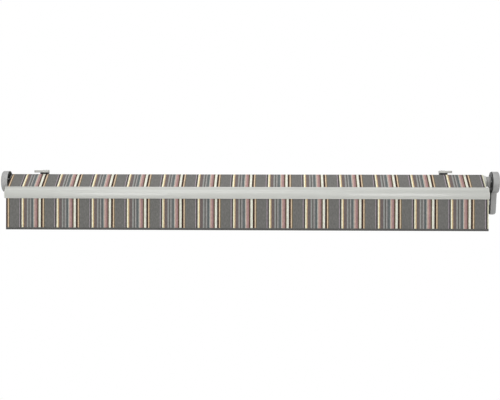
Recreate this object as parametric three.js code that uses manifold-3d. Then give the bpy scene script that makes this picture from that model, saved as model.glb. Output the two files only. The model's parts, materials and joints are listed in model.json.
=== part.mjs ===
// An open folding-arm awning, retracted, seen as it hangs on a wall.
// X runs along the awning, to the right as seen from the front. Y points to the wall, whose face
// is the plane Y = 0. Z is up, and Z = 0 is the middle of the square torsion bar. Millimetres.
import * as THREE from 'three';
import { mergeVertices } from 'three/addons/utils/BufferGeometryUtils.js';
import Module from 'manifold-3d';

const wasm = await Module();
wasm.setup();

// Gap between pieces that seat on each other, and running clearance of a pin in its bore
const seatGap = 0.3;
const runningGap = 0.4;

// How far joined forms run into each other, and cuts run past the faces they open
const overlap = 1;

// Points of a shape that lie closer than this are one point
const weldDistance = 1e-3;

// Cloth. The canopy sets the length of everything along X.
const clothThickness = 0.8;
const canopyWidth = 3382;
const canopyMiddleX = -4;
const valanceDrop = 221;
const valanceLeftInset = 6;
const valanceRightInset = 1;
const bindingHeight = 16;
const bindingThickness = 0.9;
const kederRadius = 2.8;
const kederInset = 5;

// Roller, with the cloth that is wound on it
const rollerY = -68;
const rollerZ = 80;
const rollerTubeRadius = 39;
const rollerTubeWall = 1.6;
const tubeLeftOverhang = 5;
const tubeRightOverhang = 18;
const rollRadius = 50;
const turnPitch = 1.2;
const turnSteps = 24;
const flangeRadius = 47;
const flangeRim = 3;
const flangeNoseRadius = 40.5;
const flangeLeftLength = 8;
const flangeRightLength = 24;
const plugReach = 26;
const plugChamfer = 2;
const plugRim = 3;
const plugRimStep = 1;
const axleRadius = 8;
const bushWall = 4;
const stubInset = 1;

// Torsion bar, the square tube that carries everything
const torsionSize = 40;
const torsionWall = 2;
const torsionY = -45;
const torsionCorner = 3;

// End plates and covers
const endPlateThickness = 6;
const leftPlateMargin = 11;
const rightPlateMargin = 57;
const plateHeadRadius = 30;
const plateFootRadius = 31;
const rightPlateInset = 4;
const spigotLength = 30;
const coverRadius = 76.5;
const coverY = -78.5;
const coverZ = 75;
const coverDepth = 47;
const tailDepth = 42;
const coverWall = 3;
const coverEdge = 7;
const leastEdge = 1;
const tailEdge = 18;
const tailTop = { y: -46, z: 20, r: 42 };
const tailEnd = { y: -27, z: -131, r: 24 };
const coverBossRadius = 6;
const leftBosses = [{ y: -85, z: 94 }, { y: -53, z: 30 }];
const rightBosses = [{ y: -114, z: 80 }, { y: -41, z: 40 }];

// Crank gear
const gearRadius = 36;
const gearLength = 30;
const gearChamfer = 4;
const towerRise = 22;
const towerDrop = 40;
const towerRoof = 6;
const wormInset = 11;
const wormY = -92;
const wormBossRadius = 9.5;
const wormShaftRadius = 5;
const shaftRise = 15;
const wormShaftEndZ = -54;
const eyeRadius = 12;
const eyeWireRadius = 2.6;
const eyeNeck = 4;
const eyeCollar = 1.5;
const eyeTurn = 62;
const eyeLean = 14;

// Wall brackets
const leftBracketInset = 225;
const rightBracketInset = 279;
const bracketWidth = 55;
const bracketPlate = 8;
const bracketTopZ = 141.5;
const bracketFootZ = -84;
const shelfThickness = 12;
const shelfInset = 6;
const rollRoom = 5;
const jawThickness = 6;
const jawLip = 7;
const jawSplitZ = 4;
const slotWidth = 11;
const slotLength = 24;
const slotEndFlat = 0.01;
const slotUpperZ = 62;
const slotLowerZ = -58;
const clampBoltRadius = 4;
const clampBoltTail = 5;

// Moulded head on each wall bracket: a block, and an arm beside it that runs to a rounded tip
const headWallGap = 1.5;
const headWidth = 60;
const headHeight = 19;
const headDepth = 56;
const headSlope = 6;
const headStep = 12;
const leftHeadTip = 77;
const rightHeadTip = 64;
const headArmLow = 0.5;
const headArmHeight = 16;
const headArmDepth = 44;
const headArmEnd = 26;

// Folding arms
const armPitch = THREE.MathUtils.degToRad(12);
const shoulderInset = 377;
const shoulderY = -105;
const shoulderZ = -4;
const armLength = 1120;
const frontPivotY = -176;
const tubeOffset = 18;
const upperTube = { width: 28, height: 40, wall: 2 };
const foreTube = { width: 26, height: 36, wall: 2 };
const tubeCorner = 5;
const collarLength = 5;
const knuckleRadius = 18;
const knuckleHeight = 30;
const knuckleSetback = 8;
const upperNeckRadius = 12;
const foreNeckRadius = 10;
const forkNeckRadius = 11;
const forkSetback = 9;
const forkRoot = { x: 2, width: 6, height: 22, corner: 2 };
const tongueHeight = 20;
const tongueStep = 1;
const cheek = 6;
const pinRadius = 6;
const pinHead = 9;
const pinHeadHeight = 3;
const tubeStart = 44;
const spigotReach = 40;
const springRadius = 9;
const springWaist = 7.5;
const springLength = 420;
const springCoils = 14;
const cableRadius = 2;
const cableInset = 30;
const shoulderWidth = 62;
const shoulderWall = 5.5;
const shoulderCorner = 5;
const shoulderCheekInset = 6;
const shoulderCheekRoot = 2;
const shoulderEyeRim = 2;
const shoulderCheekStop = 1;

// Front bar
const barOverhang = 6;
const barWall = 2;
const barTopZ = 36.5;
const barBottomZ = -47;
const barBackY = -203;
const barFaceY = -239;
const barFaceFootZ = 17;
const barFaceRound = 7;
const barNoseY = -262;
const barNoseZ = -8;
const barFootY = -254;
const barCap = 6;
const barCapEdge = 4;
const grooveRadius = 4.2;
const grooveMouth = 2.6;
const grooveWall = 2;
const canopyGrooveDepth = 5;
const valanceGrooveDepth = 7;
const canopyGroove = { y: -216, z: barTopZ - canopyGrooveDepth };
const valanceGroove = { y: -250, z: barBottomZ + valanceGrooveDepth };
const frontBracketWidth = 62;
const frontBracketPlate = 5;
const frontBracketMargin = 8;

// Longer than any section, for tools that cut right through or keep one side of a piece
const beyond = 10 * torsionSize;

const paint = (colour, roughness, metalness) => ({ color: colour, roughness, metalness });
const looks = {
  cloth: paint(0x6c6b69, 0.9, 0),
  binding: paint(0x4a4a49, 0.9, 0),
  keder: paint(0xd8d8d4, 0.6, 0),
  greyCover: paint(0x989694, 0.5, 0),
  paleCap: paint(0xc8c8c3, 0.45, 0),
  aluminium: paint(0xd3d3ce, 0.35, 0.3),
  casting: paint(0xb9b9b4, 0.45, 0.3),
  darkSteel: paint(0x2e2e2f, 0.55, 0.4),
  steel: paint(0x9c9ea0, 0.35, 0.9),
  nylon: paint(0x77777a, 0.5, 0),
};

// Turns a closed three.js geometry into a solid that can be joined and cut
function solid(geometry) {
  const bare = geometry.index ? geometry.toNonIndexed() : geometry.clone();
  bare.deleteAttribute('normal');
  bare.deleteAttribute('uv');
  const merged = mergeVertices(bare, weldDistance);
  return new wasm.Manifold(new wasm.Mesh({
    numProp: 3,
    vertProperties: new Float32Array(merged.attributes.position.array),
    triVerts: new Uint32Array(merged.index.array),
  }));
}

function join(...solids) {
  return solids.reduce((whole, next) => whole.add(next));
}

function part(name, look, shape) {
  const drawn = shape.getMesh();
  const geometry = new THREE.BufferGeometry();
  geometry.setAttribute('position', new THREE.BufferAttribute(drawn.vertProperties, 3));
  geometry.setIndex(new THREE.BufferAttribute(drawn.triVerts, 1));
  geometry.computeVertexNormals();
  const mesh = new THREE.Mesh(geometry, new THREE.MeshStandardMaterial(look));
  mesh.name = name;
  return mesh;
}

// Outlines. An outline for alongX is drawn in Y and Z, one for alongZ in X and Y.
function rectangle(left, low, right, high) {
  const outline = new THREE.Shape();
  outline.moveTo(left, low);
  outline.lineTo(right, low);
  outline.lineTo(right, high);
  outline.lineTo(left, high);
  return outline;
}

function roundedRectangle(x, y, width, height, corner) {
  const outline = new THREE.Shape();
  const right = x + width / 2 - corner;
  const left = x - width / 2 + corner;
  const top = y + height / 2 - corner;
  const bottom = y - height / 2 + corner;
  outline.absarc(right, top, corner, 0, Math.PI / 2);
  outline.absarc(left, top, corner, Math.PI / 2, Math.PI);
  outline.absarc(left, bottom, corner, Math.PI, 1.5 * Math.PI);
  outline.absarc(right, bottom, corner, 1.5 * Math.PI, 2 * Math.PI);
  return outline;
}

function disc(x, y, radius) {
  return new THREE.Shape().absarc(x, y, radius, 0, 2 * Math.PI);
}

// The outline of a belt laid round two discs
function belt(x1, y1, r1, x2, y2, r2) {
  const along = Math.atan2(y2 - y1, x2 - x1);
  const spread = Math.acos((r1 - r2) / Math.hypot(x2 - x1, y2 - y1));
  const outline = new THREE.Shape();
  outline.absarc(x1, y1, r1, along + spread, along - spread + 2 * Math.PI);
  outline.absarc(x2, y2, r2, along - spread, along + spread);
  return outline;
}

// Extrudes an outline. Each arc in it gets this many sides, and each other curve half as many.
function extrude(outline, depth, arcSides) {
  return new THREE.ExtrudeGeometry(outline, {
    depth,
    bevelEnabled: false,
    curveSegments: arcSides / 2,
  });
}

const axisX = new THREE.Vector3(1, 0, 0);
const axisY = new THREE.Vector3(0, 1, 0);
const axisZ = new THREE.Vector3(0, 0, 1);
const profileToX = new THREE.Matrix4().makeBasis(axisY, axisZ, axisX);
const profileToWall = new THREE.Matrix4().makeBasis(axisX, axisZ, axisY.clone().negate());

function alongX(outline, from, to, arcSides = 8) {
  const prism = extrude(outline, to - from, arcSides);
  return solid(prism.applyMatrix4(profileToX).translate(from, 0, 0));
}

function alongZ(outline, from, to, arcSides = 8) {
  return solid(extrude(outline, to - from, arcSides).translate(0, 0, from));
}

function roundX(y, z, radius, from, to, sides = 24) {
  return alongX(disc(y, z, radius), from, to, sides);
}

function roundZ(x, y, radius, from, to, sides = 20) {
  return alongZ(disc(x, y, radius), from, to, sides);
}

const lathedToX = new THREE.Matrix4().makeBasis(axisY, axisX, axisZ.clone().negate());

// A piece turned about the X axis of the awning, drawn as radius against X
function turned(profile, y, z, sides = 36) {
  const points = profile.map(([x, radius]) => new THREE.Vector2(radius, x));
  const shape = new THREE.LatheGeometry([...points, points[0]], sides);
  return solid(shape.applyMatrix4(lathedToX).translate(0, y, z));
}

// Places worked out from the sizes above
const canopyLeft = canopyMiddleX - canopyWidth / 2;
const canopyRight = canopyMiddleX + canopyWidth / 2;
const barRight = canopyWidth / 2 + barOverhang;
const barLeft = -barRight;
const valanceLeft = barLeft + valanceLeftInset;
const valanceRight = barRight - valanceRightInset;
const rollerLeft = canopyLeft - tubeLeftOverhang;
const rollerRight = canopyRight + tubeRightOverhang;
const leftPlateX = canopyLeft - leftPlateMargin;
const rightPlateX = canopyRight + rightPlateMargin;
const wormX = rightPlateX - wormInset;
const leftBracketX = barLeft + leftBracketInset;
const rightBracketX = barRight - rightBracketInset;
const shoulderX = barRight - shoulderInset;
const torsionFront = torsionY - torsionSize / 2;
const torsionHalf = torsionSize / 2;
const rightPlateOuter = rightPlateX + endPlateThickness - seatGap;
const leftPlateOuter = leftPlateX - endPlateThickness;
const torsionLeft = leftPlateX + seatGap;
const torsionRight = rightPlateX - seatGap;

// The straight line of the cloth touches the roll at this angle, seen from the right-hand end
const clothRadius = rollRadius - clothThickness / 2;
const toGroove = Math.hypot(rollerY - canopyGroove.y, rollerZ - canopyGroove.z);
const clothSlope = Math.atan2(rollerZ - canopyGroove.z, rollerY - canopyGroove.y)
  + Math.asin(clothRadius / toGroove);
const touchAngle = clothSlope + Math.PI / 2;

function torsionBar() {
  const outline = roundedRectangle(torsionY, 0, torsionSize, torsionSize, torsionCorner);
  const inside = torsionSize - 2 * torsionWall;
  outline.holes.push(roundedRectangle(torsionY, 0, inside, inside, torsionCorner - torsionWall));
  return part('torsion_bar', looks.darkSteel, alongX(outline, torsionLeft, torsionRight, 3));
}

// Round stretch of the cloth that is still on the roller: one long strip, wound in a spiral
function clothRoll() {
  const flatness = Math.cos(Math.PI / turnSteps);
  const room = rollRadius - clothThickness - (rollerTubeRadius + seatGap) / flatness;
  const turns = room / turnPitch;
  const steps = Math.round(turns * turnSteps);
  const strip = new THREE.Shape();
  const point = (step, side) => {
    const angle = touchAngle - ((steps - step) / turnSteps) * 2 * Math.PI;
    const depth = ((steps - step) / turnSteps) * turnPitch;
    const radius = clothRadius - depth + side * clothThickness / 2;
    return [rollerY + radius * Math.cos(angle), rollerZ + radius * Math.sin(angle)];
  };
  strip.moveTo(...point(0, 1));
  for (let step = 1; step <= steps; step += 1) strip.lineTo(...point(step, 1));
  for (let step = steps; step >= 0; step -= 1) strip.lineTo(...point(step, -1));
  return part('fabric_roll', looks.cloth, alongX(strip, canopyLeft, canopyRight));
}

// Taut cloth from the roll to the groove of the front bar
function canopySheet() {
  const start = {
    y: rollerY + clothRadius * Math.cos(touchAngle) - seatGap * Math.cos(clothSlope),
    z: rollerZ + clothRadius * Math.sin(touchAngle) - seatGap * Math.sin(clothSlope),
  };
  const whole = Math.hypot(start.y - canopyGroove.y, start.z - canopyGroove.z);
  const reach = whole - kederRadius - seatGap;
  const half = clothThickness / 2;
  const strip = extrude(rectangle(-reach, -half, 0, half), canopyWidth, 1).applyMatrix4(profileToX);
  strip.rotateX(clothSlope).translate(canopyLeft, start.y, start.z);
  return part('canopy_sheet', looks.cloth, solid(strip));
}

function rollerTube() {
  const outline = disc(rollerY, rollerZ, rollerTubeRadius);
  outline.holes.push(disc(rollerY, rollerZ, rollerTubeRadius - rollerTubeWall));
  return part('roller_tube', looks.aluminium, alongX(outline, rollerLeft, rollerRight, 40));
}

// Tapered ring that guides the edge of the cloth at each end of the roller
function rollerFlange(side, clothEdge, length) {
  const inner = rollerTubeRadius + seatGap;
  const near = clothEdge + side * seatGap;
  const profile = [
    [near, inner], [near, flangeRadius], [near + side * flangeRim, flangeRadius],
    [near + side * length, flangeNoseRadius], [near + side * length, inner],
  ];
  const name = side < 0 ? 'roller_flange_left' : 'roller_flange_right';
  return part(name, looks.paleCap, turned(side < 0 ? profile.reverse() : profile, rollerY, rollerZ));
}

// Plug pressed into the roller's end, with the axle stub that carries it
function rollerPlug(side, tubeEnd, stubEnd) {
  const seat = rollerTubeRadius - rollerTubeWall - seatGap;
  const rim = rollerTubeRadius - plugRimStep;
  const root = tubeEnd - side * plugReach;
  const profile = [
    [root, 0], [root, seat - plugChamfer], [root + side * plugChamfer, seat],
    [tubeEnd + side * seatGap, seat], [tubeEnd + side * seatGap, rim], [tubeEnd + side * plugRim, rim],
    [tubeEnd + side * plugRim, axleRadius], [stubEnd, axleRadius], [stubEnd, 0],
  ];
  const name = side < 0 ? 'roller_plug_left' : 'roller_plug_right';
  return part(name, looks.nylon, turned(side < 0 ? profile.reverse() : profile, rollerY, rollerZ, 24));
}

// Bush in an end plate that the axle stub turns in
function axleBush(name, from, to) {
  const outline = disc(rollerY, rollerZ, axleRadius + bushWall);
  outline.holes.push(disc(rollerY, rollerZ, axleRadius + runningGap));
  return part(name, looks.nylon, alongX(outline, from, to, 24));
}

function plateSpigot(from, to) {
  const size = torsionSize - 2 * torsionWall - 2 * seatGap;
  return alongX(roundedRectangle(torsionY, 0, size, size, torsionCorner - torsionWall), from, to, 2);
}

function bushHole(from, to) {
  return roundX(rollerY, rollerZ, axleRadius + bushWall + seatGap, from, to);
}

function leftEndPlate() {
  const outline = belt(rollerY, rollerZ, plateHeadRadius, torsionY, 0, plateFootRadius);
  const plate = join(
    alongX(outline, leftPlateOuter, leftPlateX, 16),
    plateSpigot(leftPlateX - overlap, leftPlateX + spigotLength),
  );
  const hole = bushHole(leftPlateOuter - overlap, leftPlateX + overlap);
  return part('end_plate_left', looks.darkSteel, plate.subtract(hole));
}

// Outline of the right-hand cover: a disc round the roller and a tail over the torsion bar's end
function tailed(inset, from, to) {
  const tail = belt(tailTop.y, tailTop.z, tailTop.r - inset, tailEnd.y, tailEnd.z, tailEnd.r - inset);
  return join(
    alongX(disc(coverY, coverZ, coverRadius - inset), from, to, 36), alongX(tail, from, to, 14),
  );
}

function rightEndPlate() {
  const plate = join(
    tailed(rightPlateInset, rightPlateX, rightPlateOuter),
    plateSpigot(rightPlateX - spigotLength, rightPlateX + overlap),
  );
  const hole = bushHole(rightPlateX - overlap, rightPlateOuter + overlap);
  return part('end_plate_right', looks.darkSteel, plate.subtract(hole));
}

// Everything between two planes across X
function slab(from, to) {
  return alongX(rectangle(-beyond, -beyond, beyond, beyond), from, to);
}

// An extruded cap with one rounded edge: both ends are bevelled and the inner one is cut away
function roundedCap(outline, inset, from, to, arcSides, outerEdge = coverEdge) {
  const side = Math.sign(to - from);
  const depth = Math.abs(to - from);
  const edge = Math.max(outerEdge - inset, leastEdge);
  const cap = new THREE.ExtrudeGeometry(outline, {
    depth,
    bevelThickness: edge,
    bevelSize: edge,
    bevelOffset: -edge - inset,
    bevelSegments: 3,
    curveSegments: arcSides / 2,
  });
  cap.applyMatrix4(profileToX).translate(Math.min(from, to) - side * edge, 0, 0);
  return solid(cap).intersect(slab(Math.min(from, to), Math.max(from, to)));
}

const tailOutline = belt(tailTop.y, tailTop.z, tailTop.r, tailEnd.y, tailEnd.z, tailEnd.r);
const coverOutline = disc(coverY, coverZ, coverRadius);

// Posts inside a cover, from its floor to the plate
function coverBosses(places, from, to) {
  return join(...places.map(
    ({ y, z }) => roundX(y, z, coverBossRadius, Math.min(from, to), Math.max(from, to), 12),
  ));
}

function leftCover() {
  const open = leftPlateOuter - seatGap;
  const closed = open - coverDepth;
  const outer = roundedCap(coverOutline, 0, open, closed, 32);
  const inner = roundedCap(coverOutline, coverWall, open + overlap, closed + coverWall, 32);
  const bosses = coverBosses(leftBosses, open, closed + overlap);
  return part('end_cover_left', looks.greyCover, outer.subtract(inner).add(bosses));
}

function rightCover() {
  const open = rightPlateOuter + seatGap;
  const closed = open + coverDepth;
  const tailClosed = open + tailDepth;
  const outer = join(
    roundedCap(coverOutline, 0, open, closed, 32),
    roundedCap(tailOutline, 0, open, tailClosed, 14, tailEdge),
  );
  const inner = join(
    roundedCap(coverOutline, coverWall, open - overlap, closed - coverWall, 32),
    roundedCap(tailOutline, coverWall, open - overlap, tailClosed - coverWall, 14, tailEdge),
  );
  const bosses = join(
    coverBosses(rightBosses, open, closed - overlap),
    coverBosses([tailEnd], open, tailClosed - overlap),
  );
  return part('end_cover_right', looks.greyCover, outer.subtract(inner).add(bosses));
}

// Worm gear case on the inner face of the right-hand plate, with the tower of its drive shaft
function gearCase() {
  const back = rightPlateX - seatGap;
  const front = back - gearLength;
  const towerTop = rollerZ + towerRise;
  const towerFoot = rollerZ - towerDrop;
  const profile = [
    [front, 0], [front, gearRadius - gearChamfer], [front + gearChamfer, gearRadius],
    [back, gearRadius], [back, 0],
  ];
  const body = join(
    turned(profile, rollerY, rollerZ, 30),
    roundZ(wormX, wormY, wormBossRadius, towerFoot, towerTop),
  );
  const axleBore = roundX(rollerY, rollerZ, axleRadius + runningGap, front - overlap, back + overlap);
  const shaftBore = roundZ(
    wormX, wormY, wormShaftRadius + runningGap, towerFoot - overlap, towerTop - towerRoof,
  );
  return part('gear_case', looks.greyCover, body.subtract(axleBore).subtract(shaftBore));
}

function crankShaft() {
  return part('crank_shaft', looks.darkSteel,
    roundZ(wormX, wormY, wormShaftRadius, wormShaftEndZ, rollerZ + shaftRise));
}

// Ring at the foot of the drive shaft, for the hook of the crank handle
function crankEye() {
  const ring = new THREE.TorusGeometry(eyeRadius, eyeWireRadius, 6, 20);
  ring.translate(0, -eyeRadius - eyeNeck, 0).rotateX(Math.PI / 2);
  const collar = roundZ(0, 0, wormShaftRadius + eyeCollar, -eyeNeck - eyeWireRadius, -seatGap, 16);
  const eye = join(solid(ring).rotate([0, eyeLean, eyeTurn]), collar);
  return part('crank_eye', looks.steel, eye.translate([wormX, wormY, wormShaftEndZ]));
}

// A bar across the bracket's width, drawn in Y and Z
function acrossBracket(back, low, front, high) {
  return alongX(rectangle(back, low, front, high), -bracketWidth / 2, bracketWidth / 2);
}

// Wall bracket: plate with two bolt slots, and a hooked jaw over the torsion bar
function wallBracket() {
  const jawTop = torsionHalf + seatGap + jawThickness;
  const jawFront = torsionFront - seatGap - jawLip;
  const plate = acrossBracket(-bracketPlate, bracketFootZ, 0, bracketTopZ);
  const hook = acrossBracket(jawFront, torsionHalf + seatGap, -overlap, jawTop);
  const lip = acrossBracket(jawFront, jawSplitZ, jawFront + jawLip, jawTop);
  const shelfLow = bracketTopZ - shelfThickness;
  const shelf = acrossBracket(shelfInset - headDepth, shelfLow, -overlap, bracketTopZ);
  const room = roundX(rollerY, rollerZ, rollRadius + rollRoom, -bracketWidth, bracketWidth, 40);
  const bracket = join(plate, hook, lip, shelf.subtract(room));
  return [slotUpperZ, slotLowerZ].reduce((left, z) => {
    const line = roundedRectangle(0, z, slotWidth, slotLength, slotWidth / 2 - slotEndFlat);
    const slot = extrude(line, beyond, 8).applyMatrix4(profileToWall);
    return left.subtract(solid(slot.translate(0, beyond / 2, 0)));
  }, bracket);
}

// Lower jaw, which the clamp bolt draws up against the torsion bar
function bracketClamp() {
  const top = -torsionHalf - seatGap;
  const back = -bracketPlate - seatGap;
  const front = torsionFront - seatGap - jawLip;
  const jaw = acrossBracket(front, top - jawThickness, back, top);
  const lip = acrossBracket(front, top - overlap, front + jawLip, jawSplitZ - seatGap);
  const boltY = front + (jawLip + seatGap) / 2;
  const boltFoot = top - jawThickness - clampBoltTail;
  return join(jaw, lip, roundZ(0, boltY, clampBoltRadius, boltFoot, top - overlap, 6));
}

// Moulded head that caps the bracket: a block with a sloping front, and a lower arm to one side
function bracketHead(tip) {
  const low = bracketTopZ + seatGap;
  const high = low + headHeight;
  const side = new THREE.Shape();
  side.moveTo(-headDepth, low);
  side.lineTo(-headWallGap, low);
  side.lineTo(-headWallGap, high);
  side.lineTo(-headDepth / 2, high);
  side.lineTo(-headDepth, high - headSlope);
  const block = alongX(side, -headWidth / 2, headStep);
  const plan = new THREE.Shape();
  plan.moveTo(headStep - overlap, -headWallGap);
  plan.lineTo(headStep - overlap, -headArmDepth);
  plan.quadraticCurveTo(tip, -headArmDepth, tip, -headArmEnd);
  plan.lineTo(tip, -headWallGap);
  const arm = alongZ(plan, low + headArmLow, low + headArmLow + headArmHeight, 12);
  return join(block, arm);
}

function bracketSet(side, name, x, headTip) {
  const set = new THREE.Group();
  set.add(part('wall_bracket_' + name, looks.darkSteel, wallBracket()));
  set.add(part('bracket_clamp_' + name, looks.darkSteel, bracketClamp()));
  set.add(part('bracket_head_' + name, looks.casting, bracketHead(headTip)));
  set.position.x = x;
  set.scale.x = side;
  return set;
}

// Folding arms. Each is drawn in the plane it folds in, with the shoulder pivot at the origin,
// its inner end to -X and the wall to +Y. The pivots lie on two equal sides of a narrow triangle.
const pivotDrop = (shoulderY - frontPivotY) / Math.cos(armPitch);
const foldAngle = Math.asin(pivotDrop / 2 / armLength);
const elbow = { x: -armLength * Math.cos(foldAngle), y: -armLength * Math.sin(foldAngle) };
const frontPivot = { x: 0, y: -pivotDrop };
const tubeLean = Math.asin(tubeOffset / armLength);
const armPitchDegrees = THREE.MathUtils.radToDeg(armPitch);

function pin(x, y, halfHeight) {
  return join(
    roundZ(x, y, pinRadius, -halfHeight - overlap, halfHeight + overlap, 12),
    roundZ(x, y, pinHead, halfHeight, halfHeight + pinHeadHeight, 12),
    roundZ(x, y, pinHead, -halfHeight - pinHeadHeight, -halfHeight, 12),
  );
}

function pinHole(x, y, clearance) {
  return roundZ(x, y, pinRadius + clearance, -beyond, beyond, 12);
}

// A square tube from one pivot towards the other, with its ends kept clear of both
function armTube(size) {
  const inside = { width: size.width - 2 * size.wall, height: size.height - 2 * size.wall };
  const outline = roundedRectangle(0, 0, size.width, size.height, tubeCorner);
  outline.holes.push(roundedRectangle(0, 0, inside.width, inside.height, tubeCorner - size.wall));
  return alongX(outline, -armLength + tubeStart, -tubeStart, 4);
}

// Solid plug inside the end of a tube, and the collar that the tube's end rests against
function tubeEnd(size, atInnerEnd) {
  const wide = size.width - 2 * size.wall - 2 * seatGap;
  const high = size.height - 2 * size.wall - 2 * seatGap;
  const plugLine = roundedRectangle(0, 0, wide, high, tubeCorner - size.wall - seatGap);
  const collarLine = roundedRectangle(0, 0, size.width, size.height, tubeCorner);
  const end = atInnerEnd ? -armLength + tubeStart : -tubeStart;
  const out = atInnerEnd ? -1 : 1;
  const span = (line, a, b) => alongX(line, Math.min(a, b), Math.max(a, b), 4);
  return join(
    span(plugLine, end + out * overlap, end - out * spigotReach),
    span(collarLine, end + out * seatGap, end + out * (seatGap + collarLength)),
  );
}

// The two tubes end beside the elbow, one on the wall's side and one on the front bar's side
const tubeTurn = THREE.MathUtils.radToDeg(foldAngle - tubeLean);

function placeUpper(shape) {
  return shape.rotate([0, 0, tubeTurn]);
}

function placeFore(shape) {
  return shape.rotate([0, 0, -tubeTurn]).translate([frontPivot.x, frontPivot.y, 0]);
}

const upperCollar = {
  x: elbow.x + (tubeStart - seatGap - collarLength / 2) * Math.cos(foldAngle - tubeLean),
  y: elbow.y + tubeOffset,
};
const foreCollar = { x: upperCollar.x, y: elbow.y - tubeOffset };

function shoulderKnuckle() {
  const halfKnuckle = knuckleHeight / 2;
  const line = belt(0, 0, knuckleRadius, knuckleSetback - tubeStart, 0, upperNeckRadius);
  const eye = alongZ(line, -halfKnuckle, halfKnuckle, 12);
  return join(placeUpper(tubeEnd(upperTube, false)), eye).subtract(pinHole(0, 0, runningGap));
}

function elbowFork() {
  const inner = tongueHeight / 2 + seatGap;
  const outer = inner + cheek;
  const neck = { x: upperCollar.x - forkSetback, y: upperCollar.y };
  const line = belt(elbow.x, elbow.y, knuckleRadius, neck.x, neck.y, forkNeckRadius);
  const jaws = join(alongZ(line, inner, outer, 12), alongZ(line, -outer, -inner, 12));
  const { x, width, height, corner } = forkRoot;
  const root = roundedRectangle(upperCollar.x - x, upperCollar.y, width, height, corner);
  const cableBore = roundX(0, 0, cableRadius + seatGap, cableInset - armLength, -armLength / 2, 8);
  return join(placeUpper(tubeEnd(upperTube, true)), jaws, alongZ(root, -outer, outer, 4))
    .subtract(pinHole(elbow.x, elbow.y, seatGap))
    .subtract(placeUpper(cableBore));
}

function elbowTongue() {
  const half = tongueHeight / 2;
  const neck = { x: foreCollar.x - knuckleSetback, y: foreCollar.y };
  const line = belt(elbow.x, elbow.y, knuckleRadius - tongueStep, neck.x, neck.y, foreNeckRadius);
  const eye = alongZ(line, -half, half, 12);
  return join(placeFore(tubeEnd(foreTube, true)), eye).subtract(pinHole(elbow.x, elbow.y, runningGap));
}

function frontKnuckle() {
  const half = tongueHeight / 2;
  const line = belt(0, 0, knuckleRadius, knuckleSetback - tubeStart, 0, foreNeckRadius);
  const eye = alongZ(line, -half, half, 12);
  return join(placeFore(tubeEnd(foreTube, false)), eye.translate([0, frontPivot.y, 0]))
    .subtract(pinHole(0, frontPivot.y, runningGap));
}

// Close-wound tension spring in the upper arm, hooked to the shoulder end
function armSpring() {
  const start = -tubeStart - spigotReach - seatGap;
  const coil = springLength / springCoils;
  const profile = [[start, 0]];
  for (let turn = 0; turn < springCoils; turn += 1) {
    profile.push([start - turn * coil, springWaist], [start - (turn + 0.5) * coil, springRadius]);
  }
  profile.push([start - springLength, springWaist], [start - springLength, 0]);
  return placeUpper(turned(profile.reverse(), 0, 0, 8));
}

function armCable() {
  const start = -tubeStart - spigotReach - 2 * seatGap - springLength;
  return placeUpper(roundX(0, 0, cableRadius, cableInset - armLength + seatGap, start, 8));
}

// Casting that grips the torsion bar and holds the shoulder pin between two cheeks
function shoulderBracket() {
  const outer = torsionSize + 2 * (seatGap + shoulderWall);
  const grip = roundedRectangle(torsionY, 0, outer, outer, shoulderCorner);
  const half = torsionHalf + seatGap;
  grip.holes.push(rectangle(torsionY - half, -half, torsionY + half, half));
  const block = alongX(grip, -shoulderWidth / 2, shoulderWidth / 2, 4);
  const inner = knuckleHeight / 2 + seatGap;
  const reach = torsionFront - shoulderY - shoulderWall / 2 + shoulderCheekRoot;
  const root = shoulderWidth / 2 - shoulderCheekInset;
  const line = belt(0, 0, knuckleRadius + shoulderEyeRim, 0, reach, root);
  const cheeks = join(
    alongZ(line, inner, inner + cheek, 12),
    alongZ(line, -inner - cheek, -inner, 12),
  );
  const tilt = (shape) => shape.rotate([armPitchDegrees, 0, 0]).translate([0, shoulderY, shoulderZ]);
  const stop = torsionFront - seatGap - shoulderCheekStop;
  const front = alongX(rectangle(-beyond, -beyond, stop, beyond), -beyond, beyond);
  return join(block, tilt(cheeks).intersect(front)).subtract(tilt(pinHole(0, 0, seatGap)));
}

// Bracket bolted to the back of the front bar, with the cheeks of the front pivot
function frontBracket() {
  const inner = tongueHeight / 2 + seatGap;
  const drop = barBackY - frontPivotY;
  const line = belt(0, 0, knuckleRadius, 0, drop, frontBracketWidth / 2 - frontBracketMargin);
  const cheeks = join(
    alongZ(line, inner, inner + cheek, 12),
    alongZ(line, -inner - cheek, -inner, 12),
  ).subtract(pinHole(0, 0, seatGap));
  const pivotZ = shoulderZ - pivotDrop * Math.sin(armPitch);
  const tilted = cheeks.rotate([armPitchDegrees, 0, 0]).translate([0, frontPivotY, pivotZ]);
  const back = barBackY + seatGap;
  const plateTop = pivotZ + inner + cheek + frontBracketMargin;
  const plate = alongX(
    rectangle(back, barBottomZ + frontBracketMargin, back + frontBracketPlate, plateTop),
    -frontBracketWidth / 2, frontBracketWidth / 2,
  );
  const behind = alongX(rectangle(back, -beyond, beyond, beyond), -beyond, beyond);
  return join(plate, tilted.intersect(behind));
}

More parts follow.
